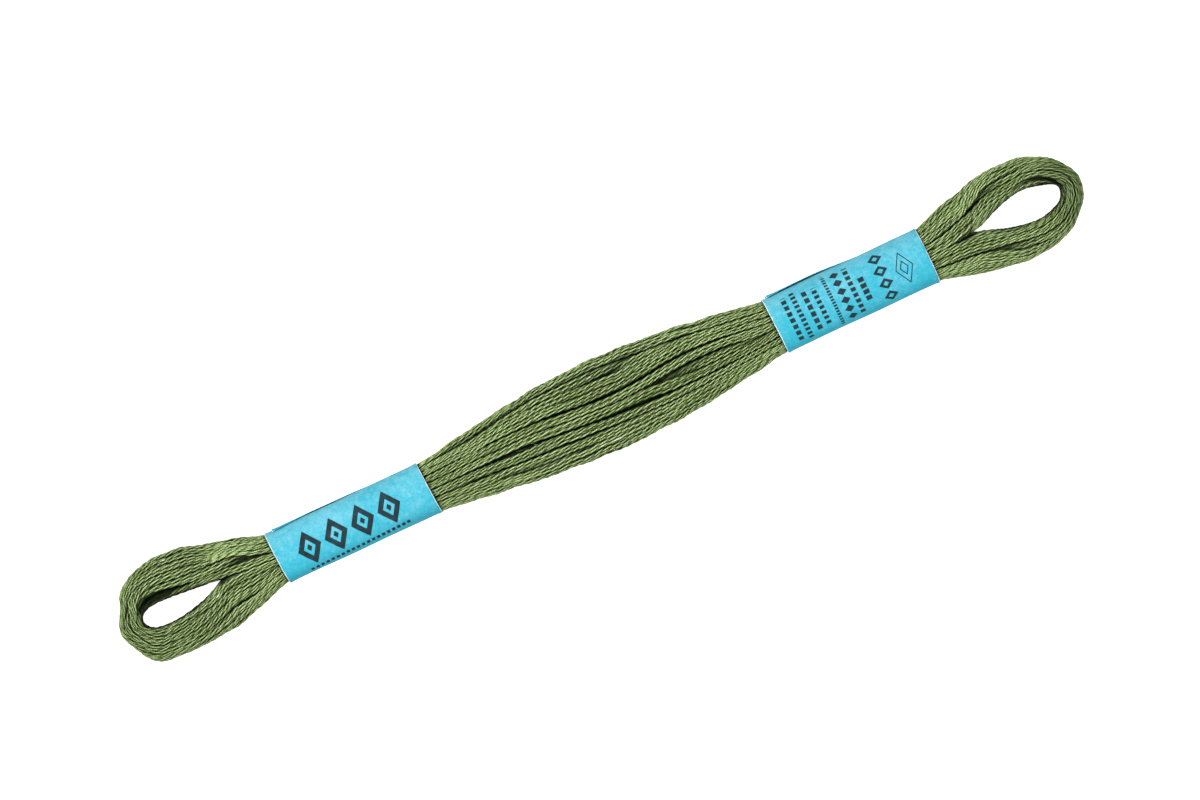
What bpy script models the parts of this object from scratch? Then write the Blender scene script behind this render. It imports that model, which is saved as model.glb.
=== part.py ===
"""A pull skein of six-strand embroidery floss, lying flat in its two paper bands.

The floss is one closed hank: two legs side by side, joined round an open eye at each end. Its form is a
loft round that path, with the wound floss raised as ridges. The skein lies along X and rests on Z = 0.
"""

from collections import namedtuple
from math import pi, sin

import bmesh
import bpy
import numpy as np

MM = 0.001

# Driving sizes, in millimetres.
SLIT = 0.3  # between the two legs where they lie side by side
LEG_LINE = -0.35  # Y of the line between the legs, which the bands are centred on
FLAT_DEPTH = 0.3  # how far the underside is pressed flat
RIDGES = 14  # rows of floss that show round a leg
RIDGE_DEPTH = 0.3
RIDGE_DRIFT = 0.9  # how far the rows wander round the leg, in rows
BAND_CLEARANCE = 0.3
BAND_WALL = 1.0
BAND_HEIGHT = 7.5
BAND_LAP = 0.2  # step where the paper laps over itself
BAND_FLAT = 0.2  # how far a band's underside is pressed flat
SHOULDER = 0.12  # length over which the floss swells out again past a band

Band = namedtuple("Band", "name start end width")
BANDS = (
    Band("band_left", -57.4, -30.6, 8.7),
    Band("band_right", 30.9, 58.1, 9.5),
)

# One row for each place along the hank, in millimetres: the outer side and the inner side of the leg as
# seen from above, and its height. The rows go round the hank, from the middle of the -Y leg to the right.
Row = namedtuple("Row", "x_outer y_outer x_inner y_inner height")
INNER_LOWER = LEG_LINE - SLIT / 2
INNER_UPPER = LEG_LINE + SLIT / 2
LOWER_LEG_OUT = (
    Row(3.0, -7.8, 3.0, INNER_LOWER, 8.0),
    Row(14.9, -7.2, 14.9, INNER_LOWER, 7.8),
    Row(23.0, -6.2, 23.0, INNER_LOWER, 7.5),
    Row(30.9, -5.1, 30.9, INNER_LOWER, 7.3),
    Row(44.0, -5.1, 44.0, INNER_LOWER, 7.3),
    Row(58.1, -5.2, 58.1, INNER_LOWER, 7.3),
    Row(62.3, -6.3, 62.3, INNER_LOWER, 7.2),
)
RIGHT_LOOP = (
    Row(66.2, -7.4, 66.2, INNER_LOWER, 7.0),
    Row(71.4, -8.2, 71.4, -2.0, 6.9),
    Row(77.3, -7.8, 76.2, -2.8, 6.9),
    Row(81.5, -6.0, 78.9, -2.3, 7.0),
    Row(84.3, -2.7, 80.8, -1.3, 7.1),
    Row(85.0, 0.4, 81.4, 0.2, 7.2),
    Row(84.1, 3.1, 80.9, 1.1, 7.2),
    Row(81.5, 5.8, 78.6, 1.9, 7.1),
    Row(77.3, 7.5, 75.7, 2.4, 7.0),
    Row(71.4, 7.8, 71.4, 1.5, 7.0),
    Row(66.2, 6.6, 66.2, INNER_UPPER, 7.1),
)
UPPER_LEG = (
    Row(62.3, 5.6, 62.3, INNER_UPPER, 7.2),
    Row(58.1, 4.5, 58.1, INNER_UPPER, 7.3),
    Row(44.0, 4.4, 44.0, INNER_UPPER, 7.3),
    Row(30.9, 4.3, 30.9, INNER_UPPER, 7.3),
    Row(23.0, 5.3, 23.0, INNER_UPPER, 7.5),
    Row(14.0, 6.5, 14.0, INNER_UPPER, 7.9),
    Row(1.0, 7.3, 1.0, INNER_UPPER, 8.2),
    Row(-14.6, 6.2, -14.6, INNER_UPPER, 7.9),
    Row(-23.0, 4.9, -23.0, INNER_UPPER, 7.5),
    Row(-30.6, 4.1, -30.6, INNER_UPPER, 7.3),
    Row(-44.0, 4.1, -44.0, INNER_UPPER, 7.3),
    Row(-57.4, 4.2, -57.4, INNER_UPPER, 7.3),
    Row(-62.0, 5.4, -62.0, INNER_UPPER, 7.2),
)
LEFT_LOOP = (
    Row(-66.8, 6.7, -66.8, 0.2, 7.1),
    Row(-73.0, 8.1, -73.0, 0.8, 7.2),
    Row(-78.7, 7.5, -77.6, 1.1, 7.2),
    Row(-82.3, 5.2, -79.6, 0.8, 7.1),
    Row(-84.6, 1.4, -80.6, 0.1, 7.0),
    Row(-85.0, -1.4, -80.8, -0.7, 6.9),
    Row(-83.6, -4.9, -80.2, -1.6, 6.9),
    Row(-80.7, -7.5, -78.8, -2.3, 6.9),
    Row(-75.7, -8.2, -75.4, -2.4, 6.9),
    Row(-70.6, -8.1, -70.6, -1.3, 7.0),
    Row(-66.0, -7.5, -66.0, INNER_LOWER, 7.1),
)
LOWER_LEG_BACK = (
    Row(-62.0, -6.2, -62.0, INNER_LOWER, 7.2),
    Row(-57.4, -4.9, -57.4, INNER_LOWER, 7.3),
    Row(-44.0, -4.8, -44.0, INNER_LOWER, 7.3),
    Row(-30.6, -4.8, -30.6, INNER_LOWER, 7.3),
    Row(-23.0, -5.6, -23.0, INNER_LOWER, 7.5),
    Row(-12.0, -7.0, -12.0, INNER_LOWER, 7.8),
)

# The section of a leg. Its crest is a share of the width out from its inner side, and its powers make the
# inner side flat where the legs touch and round where they part.
CREST_TOGETHER, CREST_APART = 0.22, 0.5
INNER_POWER_TOGETHER, INNER_POWER_APART = 7.0, 2.2
OUTER_POWER = 2.2
APART_AT = 1.6  # distance from the line between the legs at which a leg is fully round
INNER_SHARE = 0.35  # how densely the hidden inner side is divided, against the outer side
POINTS_A_RIDGE = 3
OUTLINE_SAMPLES = 361

# A band's section. Its lap comes up the +Y side, and its edge lies at this angle above that side.
BAND_POINTS = 48
LAP_EDGE = 0.32
LAP_REACH = 2.6  # the angle over which the lap's step fades out below its edge

LEG_STEP = 4.2  # between sections along the legs
LOOP_STEP = 1.9  # between sections round the ends, along their outer side
LOOP_START = 62.5  # X past which a leg belongs to its loop
LOOP_ROUNDING = 14.0  # distance past that over which a leg becomes fully round
CURVE_SAMPLES = 60  # fine samples between two rows

# How the rows of floss wander round a leg: waves along the whole hank, and their share of RIDGE_DRIFT.
DRIFT_WAVES = ((3, 1.0), (7, 0.4))


def smooth(value):
    """From 0 to 1 with level ends."""
    held = np.clip(value, 0.0, 1.0)
    return held * held * (3 - 2 * held)


def hank_line():
    """The rows joined by one smooth closed curve, as fine samples: an array with a Row's columns."""
    rows = np.array(LOWER_LEG_OUT + RIGHT_LOOP + UPPER_LEG + LEFT_LOOP + LOWER_LEG_BACK)
    following = np.roll(rows, -1, axis=0)
    length = np.linalg.norm((following - rows)[:, :2], axis=1)[:, None]
    slope_to = (following - rows) / length
    length_from, slope_from = np.roll(length, 1), np.roll(slope_to, 1, axis=0)
    slope = (length * slope_from + length_from * slope_to) / (length + length_from)
    t = np.linspace(0, 1, CURVE_SAMPLES, endpoint=False)[:, None]
    stretches = []
    for here in range(len(rows)):
        there = (here + 1) % len(rows)
        stretches.append(
            (2 * t**3 - 3 * t**2 + 1) * rows[here]
            + (t**3 - 2 * t**2 + t) * length[here] * slope[here]
            + (3 * t**2 - 2 * t**3) * rows[there]
            + (t**3 - t**2) * length[here] * slope[there]
        )
    return np.concatenate(stretches)


def leg_places():
    """X of each section along a leg: even steps, and a close pair at each shoulder past a band."""
    edges = [-LOOP_START, LOOP_START]
    for band in BANDS:
        edges += [band.start - BAND_CLEARANCE, band.start - BAND_CLEARANCE - SHOULDER]
        edges += [band.end + BAND_CLEARANCE, band.end + BAND_CLEARANCE + SHOULDER]
    edges.sort()
    places = list(edges)
    for start, end in zip(edges, edges[1:]):
        steps = max(1, round((end - start) / LEG_STEP))
        places += list(np.linspace(start, end, steps + 1)[1:-1])
    return np.array(sorted(places))


def sections():
    """The rows of the hank's sections in order round it, and how far round it each lies, from 0 to 1."""
    line = hank_line()
    steps = np.linalg.norm(np.diff(line[:, :2], axis=0), axis=1)
    travel = np.concatenate([[0], np.cumsum(steps)])
    x = line[:, 0]
    right_tip, left_tip = int(np.argmax(x)), int(np.argmin(x))
    places = leg_places()
    stops = []
    for first, last, way in ((0, right_tip, 1), (right_tip, left_tip, -1), (left_tip, len(x), 1)):
        xs, travels = x[first:last][::way], travel[first:last][::way]
        within = places[(places > xs[0]) & (places < xs[-1])]
        stops += list(np.interp(within, xs, travels))
    for tip_side in (1, -1):
        loop = travel[tip_side * x > LOOP_START]
        steps = round((loop[-1] - loop[0]) / LOOP_STEP)
        stops += list(np.linspace(loop[0], loop[-1], steps + 1)[1:-1])
    stops = np.array(sorted(stops))
    rows = np.stack([np.interp(stops, travel, column) for column in line.T], axis=1)
    return rows, stops / travel[-1]


def band_over(x):
    """The band that squeezes the floss at this place, or None."""
    margin = BAND_CLEARANCE + SHOULDER / 2
    for band in BANDS:
        if band.start - margin < x < band.end + margin:
            return band
    return None


def leg_outline(width, height, apart):
    """A leg's smooth section, closed: distance out from its inner side, and distance above its axis."""
    crest = CREST_TOGETHER + (CREST_APART - CREST_TOGETHER) * apart
    inner_power = INNER_POWER_TOGETHER + (INNER_POWER_APART - INNER_POWER_TOGETHER) * apart
    angle = np.linspace(-pi, pi, OUTLINE_SAMPLES)
    out, up = np.cos(angle), np.sin(angle)
    power = np.where(out > 0, OUTER_POWER, inner_power)
    reach = np.where(out > 0, 1 - crest, crest) * width
    across = crest * width + np.sign(out) * reach * np.abs(out) ** (2 / power)
    above = height / 2 * np.sign(up) * np.abs(up) ** (2 / power)
    hidden = (1 - apart) * (across < crest * width)
    return across, above, hidden


def ridged_outline(width, height, apart, turned):
    """The section's own points: three to each row of floss, the first of them in its groove."""
    across, above, hidden = leg_outline(width, height, apart)
    share = 1 - (1 - INNER_SHARE) * hidden
    run = np.hypot(np.diff(across), np.diff(above)) * (share[1:] + share[:-1]) / 2
    travel = np.concatenate([[0], np.cumsum(run)]) / run.sum()
    count = RIDGES * POINTS_A_RIDGE
    at = (np.arange(count) / count + turned / RIDGES) % 1.0
    points = np.stack([np.interp(at, travel, across), np.interp(at, travel, above)], axis=1)
    along = np.roll(points, -1, axis=0) - np.roll(points, 1, axis=0)
    outward = np.stack([along[:, 1], -along[:, 0]], axis=1)
    outward /= np.linalg.norm(outward, axis=1)[:, None]
    groove = np.arange(count) % POINTS_A_RIDGE == 0
    depth = RIDGE_DEPTH * groove * np.interp(at, travel, 1 - hidden)
    return points - outward * depth[:, None]


def section_points(row, progress):
    """The section of the hank at one row, as points in millimetres."""
    x_outer, y_outer, x_inner, y_inner, height = row
    outer, inner = np.array([x_outer, y_outer]), np.array([x_inner, y_inner])
    past_legs = abs(x_inner) - LOOP_START
    parted = abs(y_inner - LEG_LINE) - SLIT / 2 if past_legs > 0 else 0.0
    apart = max(smooth(parted / APART_AT), smooth(past_legs / LOOP_ROUNDING))
    floor = 0.0
    axis_height = height / 2 - FLAT_DEPTH
    band = band_over(x_outer)
    if band:
        floor = BAND_WALL + BAND_CLEARANCE
        outer[1] = LEG_LINE + np.sign(outer[1] - LEG_LINE) * (band.width / 2 - floor)
        height = BAND_HEIGHT - 2 * floor
        axis_height = BAND_HEIGHT / 2 - BAND_FLAT
    width = np.linalg.norm(outer - inner)
    turned = RIDGE_DRIFT * sum(share * sin(2 * pi * waves * progress) for waves, share in DRIFT_WAVES)
    outline = ridged_outline(width, height, apart, turned)
    plan = inner + outline[:, :1] * (outer - inner) / width
    return np.column_stack([plan, np.maximum(outline[:, 1] + axis_height, floor)])


def new_material(name, colour, roughness):
    made = bpy.data.materials.new(name)
    made.use_nodes = True
    shader = made.node_tree.nodes["Principled BSDF"]
    shader.inputs["Base Color"].default_value = (*colour, 1.0)
    shader.inputs["Roughness"].default_value = roughness
    shader.inputs["Metallic"].default_value = 0.0
    made.diffuse_color = (*colour, 1.0)
    return made


def make_skein(rings, middle, material, collection):
    """The hank: its sections, each joined to the next, all the way round."""
    shape = bmesh.new()
    loops = [[shape.verts.new((ring_point - middle) * MM) for ring_point in ring] for ring in rings]
    for here, there in zip(loops, loops[1:] + loops[:1]):
        for side, point in enumerate(here):
            after = (side + 1) % len(here)
            shape.faces.new((point, here[after], there[after], there[side]))
    bmesh.ops.recalc_face_normals(shape, faces=shape.faces)
    mesh = bpy.data.meshes.new("skein")
    shape.to_mesh(mesh)
    shape.free()
    mesh.shade_smooth()
    mesh.materials.append(material)
    made = bpy.data.objects.new("skein", mesh)
    collection.objects.link(made)


def band_outline(width, height, lapped):
    """A band's oval about its axis, pressed flat below, with the lap's step on its +Y side."""
    angle = np.linspace(0, 2 * pi, BAND_POINTS, endpoint=False)
    out, up = np.cos(angle), np.sin(angle)
    power = 2 / OUTER_POWER
    across = width / 2 * np.sign(out) * np.abs(out) ** power
    above = height / 2 * np.sign(up) * np.abs(up) ** power
    if lapped:
        below_edge = (LAP_EDGE - angle) % (2 * pi)
        step = BAND_LAP * (1 - smooth(below_edge / LAP_REACH))
        across, above = across + out * step, above + up * step
    return across, np.maximum(above, BAND_FLAT - height / 2)


def make_band(band, middle, material, collection):
    """A paper band: its oval outline with the bore in it, extruded along the skein."""
    curve = bpy.data.curves.new(band.name, "CURVE")
    curve.dimensions = "2D"
    curve.fill_mode = "BOTH"
    curve.extrude = (band.end - band.start) / 2 * MM
    curve.materials.append(material)
    for shrink, lapped in ((0.0, True), (BAND_WALL, False)):
        across, above = band_outline(band.width - 2 * shrink, BAND_HEIGHT - 2 * shrink, lapped)
        spline = curve.splines.new("POLY")
        spline.points.add(len(across) - 1)
        for point, y, z in zip(spline.points, across, above):
            point.co = (y * MM, z * MM, 0.0, 1.0)
        spline.use_cyclic_u = True
    made = bpy.data.objects.new(band.name, curve)
    made.rotation_euler = (pi / 2, 0.0, pi / 2)
    centre = np.array([(band.start + band.end) / 2, LEG_LINE, BAND_HEIGHT / 2 - BAND_FLAT])
    made.location = (centre - middle) * MM
    collection.objects.link(made)


def main():
    for old in list(bpy.data.objects):
        bpy.data.objects.remove(old, do_unlink=True)
    collection = bpy.data.collections.new("Floss skein")
    bpy.context.scene.collection.children.link(collection)
    floss = new_material("olive cotton floss", (0.17, 0.24, 0.07), 0.8)
    paper = new_material("blue band paper", (0.10, 0.58, 0.76), 0.7)
    rings = [section_points(row, progress) for row, progress in zip(*sections())]
    reach = np.concatenate(rings)
    middle = (reach.min(axis=0) + reach.max(axis=0)) / 2
    middle[2] = 0.0
    make_skein(rings, middle, floss, collection)
    for band in BANDS:
        make_band(band, middle, paper, collection)


main()
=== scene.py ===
"""The looks of a pull skein of embroidery floss in two blue paper bands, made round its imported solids.

The floss is wound in code: 24 turns of six two-ply cotton strands are laid round the hank's outline, pushed
apart until they lie beside each other, and each strand becomes a tube whose two plies wind round it.
"""

from collections import namedtuple
from math import pi, radians

import bmesh
import bpy
import numpy as np
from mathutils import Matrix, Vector


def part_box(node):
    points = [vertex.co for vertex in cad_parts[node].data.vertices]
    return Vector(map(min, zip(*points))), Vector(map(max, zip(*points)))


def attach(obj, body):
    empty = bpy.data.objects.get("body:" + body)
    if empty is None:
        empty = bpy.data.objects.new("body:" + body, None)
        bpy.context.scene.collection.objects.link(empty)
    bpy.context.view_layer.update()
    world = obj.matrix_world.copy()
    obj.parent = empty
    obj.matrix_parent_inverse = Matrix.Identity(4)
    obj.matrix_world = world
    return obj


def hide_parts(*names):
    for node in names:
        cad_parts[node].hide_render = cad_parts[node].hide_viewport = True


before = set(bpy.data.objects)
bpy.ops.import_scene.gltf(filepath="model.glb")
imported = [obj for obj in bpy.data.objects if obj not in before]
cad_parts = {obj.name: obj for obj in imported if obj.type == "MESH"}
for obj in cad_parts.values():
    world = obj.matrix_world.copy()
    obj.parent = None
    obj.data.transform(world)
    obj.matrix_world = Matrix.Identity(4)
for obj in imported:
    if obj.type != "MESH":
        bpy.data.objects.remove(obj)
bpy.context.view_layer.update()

MM = 0.001

# ---- Sizes in millimetres, in the frame of the hank's own outline ----

TURNS = 24
STRANDS = 6  # in the floss
PIECES = 8  # that the floss is shared out to, by turns
STRAND_RADIUS = 0.255  # where the floss lies loose
FLOSS_RADIUS = 0.72
RIPPLE = 0.18  # size of the waves that the outline of the loose floss makes
LAY_SEED, TUBE_SEED, FIBRE_SEED = 11, 5, 29  # of the random draws
FLAT_DEPTH = 0.3  # how far the underside is pressed flat
LEG_LINE = -0.35  # Y of the line between the two legs
LEGS_PART = (-66.6, 65.4)  # X past which the legs part, at each end
SECTION_POWER = 2.2  # of the superellipse that the hank's section follows

Band = namedtuple("Band", "start end")
BANDS = (Band(-57.4, -30.6), Band(30.9, 58.1))


def beside_the_line(*rows):
    """Rows of X, outer Y and height made full rows, where a leg lies against the line between the legs."""
    return tuple((x, y, x, LEG_LINE, height) for x, y, height in rows)


# The rows across the hank, round it: X and Y of its outer side, X and Y of its inner side, and its height
LOWER_LEG_OUT = beside_the_line(
    (3.0, -8.05, 8.0), (14.9, -7.4, 7.8), (23.0, -6.35, 7.5), (30.9, -5.15, 7.3), (44.0, -5.1, 7.3),
    (57.6, -5.1, 7.3), (62.3, -6.4, 7.2), (66.2, -7.4, 7.0),
)
RIGHT_LOOP = (
    (71.4, -8.2, 71.4, -2.0, 6.9), (77.3, -7.8, 76.2, -2.8, 6.9), (81.5, -6.0, 78.9, -2.3, 7.0),
    (84.3, -2.7, 80.8, -1.3, 7.1), (85.2, 0.4, 81.4, 0.2, 7.2), (84.1, 3.1, 80.9, 1.1, 7.2),
    (81.5, 5.8, 78.6, 1.9, 7.1), (77.3, 7.5, 75.7, 2.4, 7.0), (71.4, 7.8, 71.4, 1.5, 7.0),
)
UPPER_LEG = beside_the_line(
    (66.2, 6.6, 7.1), (62.3, 5.6, 7.2), (57.6, 4.0, 7.3), (44.0, 3.9, 7.3), (30.9, 4.0, 7.3),
    (23.0, 5.3, 7.5), (14.0, 6.5, 7.9), (1.0, 7.3, 8.2), (-14.6, 6.2, 7.9), (-23.0, 4.9, 7.5),
    (-30.6, 3.75, 7.3), (-44.0, 3.6, 7.3), (-57.2, 3.8, 7.3),
)
LEFT_LOOP = (
    (-62.0, 5.4, -62.0, -0.15, 7.2), (-66.8, 6.7, -66.8, 0.2, 7.1), (-73.0, 8.1, -73.0, 0.8, 7.2),
    (-78.7, 7.5, -77.6, 1.1, 7.2), (-82.3, 5.2, -79.6, 0.8, 7.1), (-83.2, 3.3, -80.2, 0.5, 7.0),
    (-84.5, 1.2, -80.6, 0.1, 7.0), (-85.0, -1.4, -80.8, -0.7, 6.9), (-83.7, -4.4, -80.4, -1.5, 6.9),
    (-82.7, -6.3, -79.8, -2.0, 6.9), (-80.6, -7.8, -78.7, -2.35, 6.9), (-75.7, -8.2, -75.4, -2.4, 6.9),
    (-70.6, -8.1, -70.6, -1.4, 7.0), (-66.0, -7.5, -66.0, 0.2, 7.1), (-62.0, -6.2, -62.0, -0.15, 7.2),
)
LOWER_LEG_BACK = beside_the_line(
    (-57.2, -4.75, 7.3), (-44.0, -4.6, 7.3), (-30.6, -4.8, 7.3), (-23.0, -5.8, 7.5), (-12.0, -7.2, 7.8),
)

# A seam is where two flosses part and the dark between them shows: its half width, how much lower the floss
# on its side nearer the eye lies, and the points that it runs through.
Seam = namedtuple("Seam", "half_width drop points")
SEAMS = (
    # across the belly
    Seam(0.03, 0.0, (-35, 2.7, -28, 3.1, -21.3, 3.6, -14, 4.8, -9.8, 5.3, 1, 5.5, 9.4, 4.8, 16, 4.3,
        26, 2.9, 35, 2.1)),
    Seam(0.08, 0.0, (-36, 1.5, -30, 1.5, -18, 1.8, -12, 1.8, -7.5, 1.6, -3.5, 1, 1.5, 0.6, 8, 0.9, 12, 1.6,
        16, 1.8, 21, 1.6, 30, 0.4, 34, 0.3)),
    Seam(0.02, 0.0, (-36, 0.2, -30, 0.2, -22, 0.3, -12, 0.1)),
    Seam(0.0, 0.0, (11.5, -0.2, 16, 0.1, 24, 0)),
    Seam(0.02, 0.0, (13, -1.5, 20, -1.6, 26, -1.4)),
    Seam(0.09, 0.0, (-36, -1.1, -30, -1.05, -22, -1, -14, -1, -6.5, -1.8, 2.5, -2.7, 8, -3, 20, -3,
        27, -2.7, 34, -2.3)),
    Seam(0.0, 0.0, (-36, -2.3, -30, -2.4, -20, -2.9, -14, -3.3, -6, -3.8, 3, -4.2, 12, -4.4, 22, -3.9,
        34, -3.4)),
    Seam(0.0, 0.0, (-18, -4.6, -10, -5.1, -4, -5.1)),
    # on the right loop
    Seam(0.05, 0.0, (54, 0.6, 59, 1, 62, 1.5, 64.5, 2.4, 66.5, 3.3, 68.5, 4, 71, 4.4)),
    Seam(0.02, 0.0, (69, 5.3, 71.5, 5.5, 74.5, 5.6, 77, 5.5)),
    Seam(0.04, 0.0, (54, -3.3, 59, -3.4, 62.5, -3.6, 65, -3.9, 67.5, -4.3, 71, -4.6, 73, -5.1, 75.5, -5.3,
        78.5, -5.1)),
    Seam(0.0, 0.0, (70.5, -5.9, 73, -6.3, 76, -6.5, 78.5, -6.2)),
    Seam(0.05, 1.0, (74.5, 3.6, 76.5, 3.85, 78.6, 3.6, 80.2, 2.6, 81.2, 1.2, 81.5, 0.3)),
    # on the left loop
    Seam(0.04, 0.0, (-68, 3.4, -64.5, 3.1, -62, 2.9)),
    Seam(0.03, 0.0, (-65.5, 1.6, -63, 1.6, -60.5, 1.4, -58, 1.2)),
    Seam(0.04, 0.0, (-64, -2.9, -61.5, -2.6, -59.5, -2.3)),
    Seam(0.04, 0.0, (-67, -4.6, -64.5, -4.5, -61.5, -4.2)),
    Seam(0.34, 1.7, (-80.9, 1.5, -79.9, 2.15, -78.6, 2.55, -77.2, 2.65, -75.6, 2.6)),
    Seam(0.03, 0.7, (-77, 2.6, -74.6, 2.45, -72.5, 2.05, -70.6, 1.7)),
)
SEAM_DEPTH, SEAM_FLOOR = 2.4, 0.8  # how deep a seam parts the floss, and the height over which it closes
SEAM_PUSH, LEDGE_PUSH, MOST_PUSH = 0.7, 0.4, 0.4  # shares of what is lacking in one step, and the most of it
LEDGE, LEDGE_EDGE = 2.2, 0.8  # width of what lies lower beside a seam, and of its slope
SEAM_SAMPLES, SEAM_ENDS = 200, 5  # points along a seam; how much faster than its length it opens at its ends
SEAM_REACH = 0.3  # how near a plane has to pass a seam to cross it
OUTSIDE = 9.0  # added to the distance of what lies outside the section

# A paper band: X of its two ends along its top; how far each end leans along X for 1 mm of wrap; the middle
# and size of its section; and at each end the angle of the lap's free edge and how far the lap bulges.
SHEET_NAMES = "name start end start_lean end_lean middle width height lap_start lap_end bulge_start bulge_end"
Sheet = namedtuple("Sheet", SHEET_NAMES)
SHEETS = (
    Sheet("band_left", -57.1, -30.25, 0.050, 0.052, -0.52, 8.8, 7.45, 25.0, -38.0, 0.02, 0.02),
    Sheet("band_right", 30.75, 57.7, 0.030, 0.014, -0.58, 9.4, 7.45, 18.0, -42.0, 0.24, 0.05),
)


def unit(vectors):
    """These vectors, each made 1 long."""
    return vectors / np.linalg.norm(vectors, axis=-1, keepdims=True)


def smooth(value):
    """From 0 to 1 with level ends."""
    held = np.clip(value, 0.0, 1.0)
    return held * held * (3 - 2 * held)


# ---- The planes across the hank ----

LEG_PLANES = 90  # planes across both legs, from one loop to the other
LOOP_PLANES = 34  # planes round each loop
CURVE_SAMPLES = 60


def hank_line():
    """Fine samples of the smooth closed curve through all rows, each with a row's five values."""
    rows = np.array(LOWER_LEG_OUT + RIGHT_LOOP + UPPER_LEG + LEFT_LOOP + LOWER_LEG_BACK)
    following = np.roll(rows, -1, axis=0)
    length = np.linalg.norm((following - rows)[:, :2], axis=1)[:, None]
    slope_to = (following - rows) / length
    length_from, slope_from = np.roll(length, 1), np.roll(slope_to, 1, axis=0)
    slope = (length * slope_from + length_from * slope_to) / (length + length_from)
    t = np.linspace(0, 1, CURVE_SAMPLES, endpoint=False)[:, None]
    stretches = []
    for here in range(len(rows)):
        there = (here + 1) % len(rows)
        stretches.append(
            (2 * t**3 - 3 * t**2 + 1) * rows[here]
            + (t**3 - 2 * t**2 + t) * length[here] * slope[here]
            + (3 * t**2 - 2 * t**3) * rows[there]
            + (t**3 - t**2) * length[here] * slope[there]
        )
    return np.concatenate(stretches)


def hank_planes():
    """Rows of the planes across the hank, in the order in which the floss passes them.

    It starts under the left band on the -Y leg. Gives the rows, and for each X across both legs the places
    in that order of its plane on the -Y leg and on the +Y leg.
    """
    line = hank_line()
    line = np.roll(line, -int(np.argmin(line[:, 0])), axis=0)
    step = np.linalg.norm((np.roll(line, -1, axis=0) - line)[:, :2], axis=1)
    travel = np.cumsum(step) - step
    whole = step.sum()
    turn = int(np.argmax(line[:, 0]))
    places = np.linspace(*LEGS_PART, LEG_PLANES)
    lower = np.interp(places, line[:turn, 0], travel[:turn])
    upper = np.interp(places, line[:turn:-1, 0], travel[:turn:-1])

    def rows_at(stops):
        return np.stack([np.interp(stops, travel, column, period=whole) for column in line.T], axis=1)

    right = rows_at(np.linspace(lower[-1], upper[-1], LOOP_PLANES + 2)[1:-1])
    left = rows_at(np.linspace(upper[0], lower[0] + whole, LOOP_PLANES + 2)[1:-1])
    lower, upper = rows_at(lower), rows_at(upper)
    lower[:, 0] = lower[:, 2] = upper[:, 0] = upper[:, 2] = places
    lower[:, 3] = upper[:, 3] = (lower[:, 3] + upper[:, 3]) / 2
    start = int(np.searchsorted(places, (BANDS[0].start + BANDS[0].end) / 2))
    rows = np.concatenate([lower[start:], right, upper[::-1], left, lower[:start]])
    lower_at = (np.arange(LEG_PLANES) - start) % len(rows)
    upper_at = LEG_PLANES - start + LOOP_PLANES + np.arange(LEG_PLANES)[::-1]
    return rows, lower_at, upper_at


def shift_to_solids():
    """What moves the hank's own frame, in metres, to the frame of the solids."""
    low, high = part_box("skein")
    outline = hank_line()[:, 0:2]
    middle = np.append((outline.min(axis=0) + outline.max(axis=0)) / 2, 0.0)
    solid_middle = np.array([(low[0] + high[0]) / 2, (low[1] + high[1]) / 2, 0.0])
    return solid_middle - middle * MM


SHIFT = shift_to_solids()

# ---- Laying the floss ----

COLUMNS, LEVELS = 4, 6  # in which the turns start, across a leg and up it
FLOSS_FILL, STRAND_FILL = 0.86, 0.76  # share of the section that flosses and strands fill
FLOSS_GAP, TIGHT_GAP = 0.14, 0.26  # shares of a strand: between strands of two turns, and added where tight
TIGHT_RADIUS, TIGHT_RANGE = 0.245, 0.04  # of the strands where the hank starts to be tight, and how fast
FLOSS_TWISTS = 6  # of the strands in a floss, in one turn of the hank
STRAND_SPREAD = 0.60  # how far strands lie from their floss's middle, as a share of its radius
NEIGHBOUR_STEPS = 6  # in which the neighbours stay the same
CHANGE_START, CHANGE_LENGTH = 0.96, 0.04  # shares of a turn, at whose end the floss moves to the next's place
BAND_EASE = 6.0  # length over which the outline's ripple fades out towards a band

# Planes of one kind: their places in the order, the middle and half size of each section, where the seams
# cross it, and which floss each thing in it belongs to.
Section = namedtuple("Section", "planes middle half seams groups")


def across_leg(rows):
    """The width of the leg in each of these rows, and the way out across it."""
    out = rows[:, 0:2] - rows[:, 2:4]
    return np.linalg.norm(out, axis=1), unit(out)


def seams_across(inner, way, reach):
    """Where each seam crosses planes that run this way from inner, and how open it is there, or -1 and -1.

    Nothing before inner or past reach counts. A plane with an endless reach also runs on before inner.
    """
    crossings = np.full((len(inner), len(SEAMS), 2), -1.0)
    across = np.stack([-way[:, 1], way[:, 0]], axis=1)
    every = np.arange(len(inner))
    share = np.linspace(0, 1, SEAM_SAMPLES)
    openness = np.minimum(1, 0.02 + SEAM_ENDS * np.minimum(share, 1 - share)) ** 0.5
    for number, seam in enumerate(SEAMS):
        corners = np.reshape(seam.points, (-1, 2))
        at = share * (len(corners) - 1)
        line = np.stack([np.interp(at, np.arange(len(corners)), side) for side in corners.T], axis=1)
        from_inner = line[None] - inner[:, None]
        out = (from_inner * way[:, None]).sum(axis=2)
        outside = (np.isfinite(reach) & (out < 0)) | (out > reach)
        aside = np.abs((from_inner * across[:, None]).sum(axis=2)) + OUTSIDE * outside
        best = np.argmin(aside, axis=1)
        met = aside[every, best] < SEAM_REACH
        crossings[met, number] = np.stack([out[every, best], openness[best]], axis=1)[met]
    return crossings


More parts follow.
